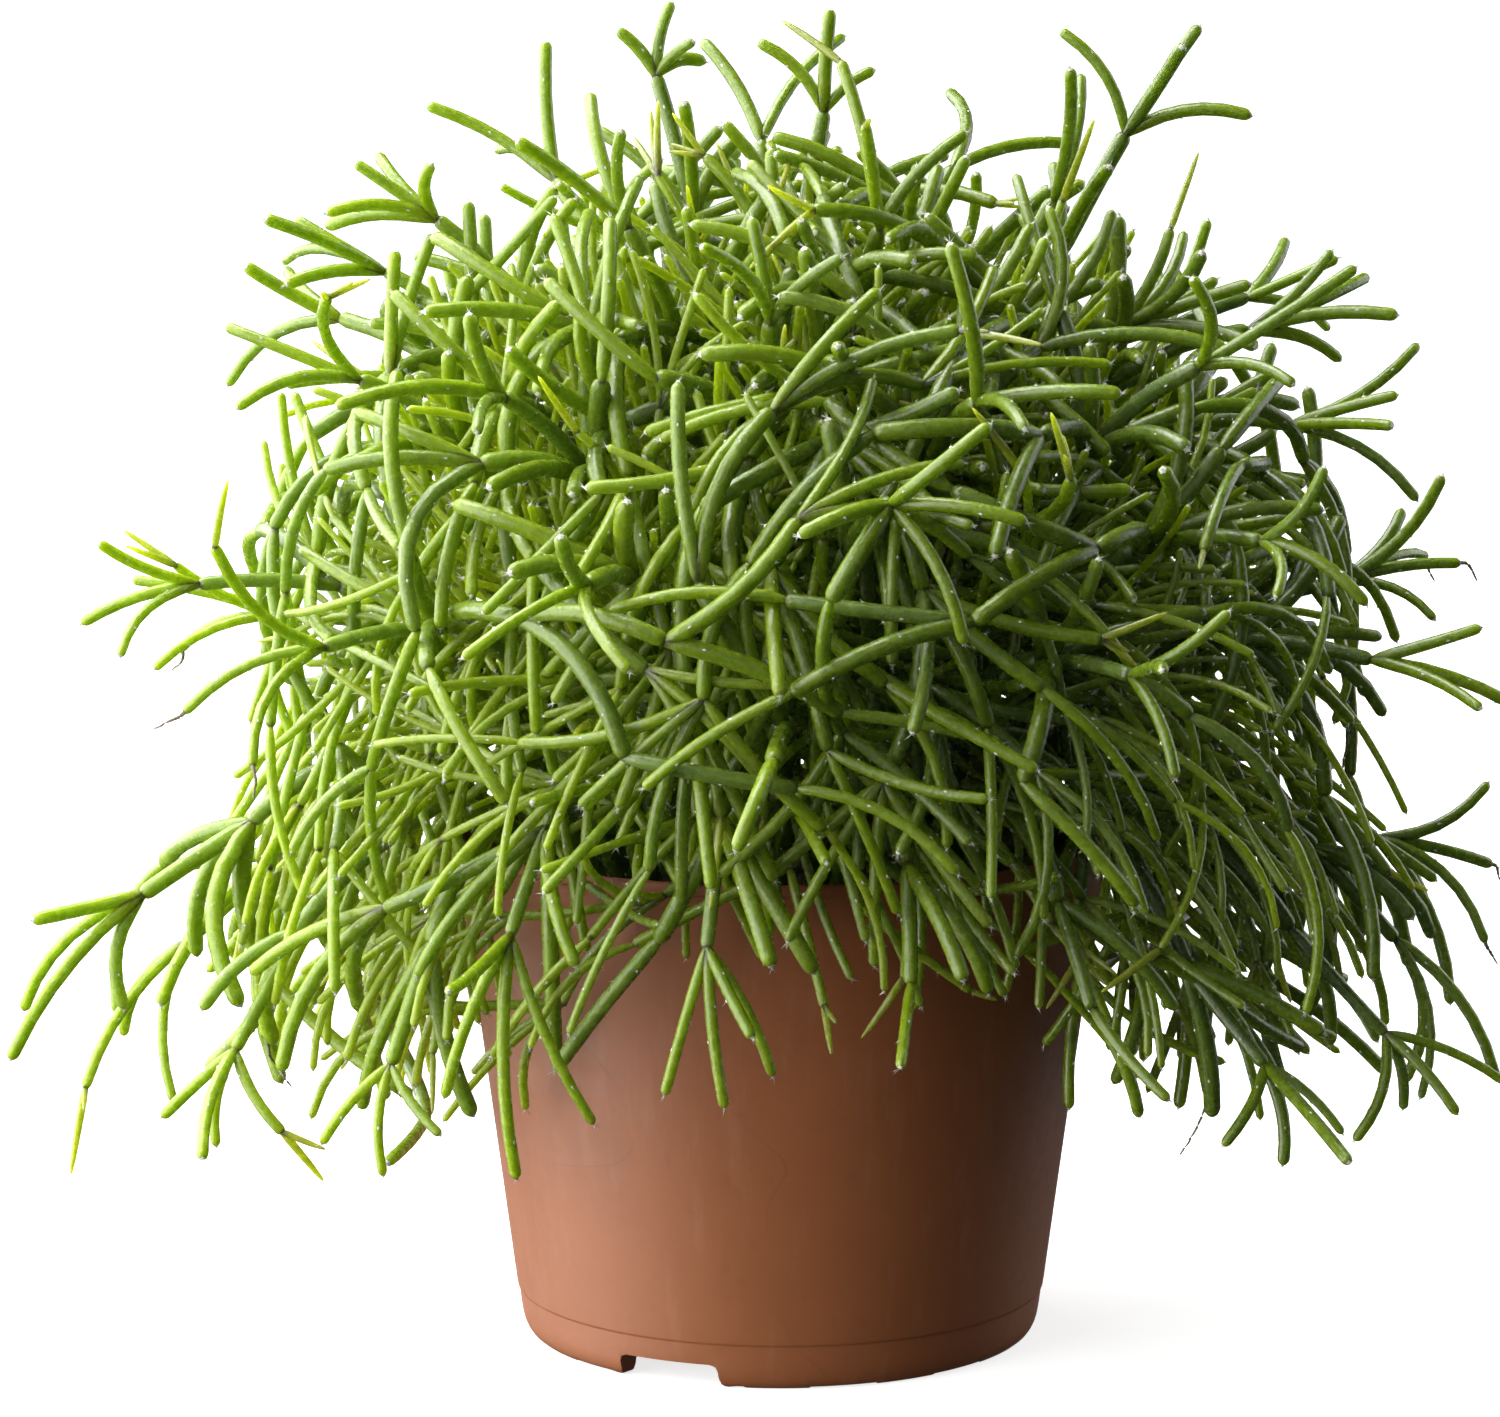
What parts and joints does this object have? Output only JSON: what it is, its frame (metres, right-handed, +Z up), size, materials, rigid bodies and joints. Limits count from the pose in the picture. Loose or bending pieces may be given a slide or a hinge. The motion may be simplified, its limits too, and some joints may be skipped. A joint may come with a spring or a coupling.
{
  "type": "potted mistletoe cactus",
  "caption": "Mistletoe cactus: a dense mound of thin green jointed stems that fork, arch over and trail round a round terracotta-coloured plastic nursery pot of soil.",
  "frame": {"origin": "on the floor under the middle of the pot, in the plane that the pot's foot stands on", "axes": "+Z up along the pot's axis; the front of the plant faces -Y, +X to the right of a viewer in front"},
  "size_m": [0.2703, 0.2452, 0.2422],
  "materials": {
    "pot": "satin moulded terracotta-coloured plastic, faintly mottled and scuffed",
    "soil": "dry crumbly dark peat",
    "stems": "smooth waxy green skin with a soft sheen"
  },
  "bodies": {
    "root": {"pot": "pot", "soil": "soil", "crown_stem_01": "stems", "crown_stem_02": "stems", "crown_stem_03": "stems", "crown_stem_04": "stems", "crown_stem_05": "stems", "crown_stem_06": "stems", "crown_stem_07": "stems", "crown_stem_08": "stems", "crown_stem_09": "stems", "crown_stem_10": "stems", "crown_stem_11": "stems", "shoulder_stem_01": "stems", "shoulder_stem_02": "stems", "shoulder_stem_03": "stems", "shoulder_stem_04": "stems", "shoulder_stem_05": "stems", "shoulder_stem_06": "stems", "shoulder_stem_07": "stems", "shoulder_stem_08": "stems", "shoulder_stem_09": "stems", "shoulder_stem_10": "stems", "flank_stem_01": "stems", "flank_stem_02": "stems", "flank_stem_03": "stems", "flank_stem_04": "stems", "flank_stem_05": "stems", "flank_stem_06": "stems", "flank_stem_07": "stems", "flank_stem_08": "stems", "flank_stem_09": "stems", "flank_stem_10": "stems", "flank_stem_11": "stems", "flank_stem_12": "stems", "flank_stem_13": "stems", "flank_stem_14": "stems", "flank_stem_15": "stems", "trailing_stem_01": "stems", "trailing_stem_02": "stems", "trailing_stem_03": "stems", "trailing_stem_04": "stems", "trailing_stem_05": "stems", "trailing_stem_06": "stems", "trailing_stem_07": "stems", "trailing_stem_08": "stems", "trailing_stem_09": "stems", "trailing_stem_10": "stems", "trailing_stem_11": "stems", "trailing_stem_12": "stems", "trailing_stem_13": "stems", "trailing_stem_14": "stems", "trailing_stem_15": "stems", "trailing_stem_16": "stems", "trailing_stem_17": "stems", "trailing_stem_18": "stems", "trailing_stem_19": "stems"}
  },
  "joints": []
}
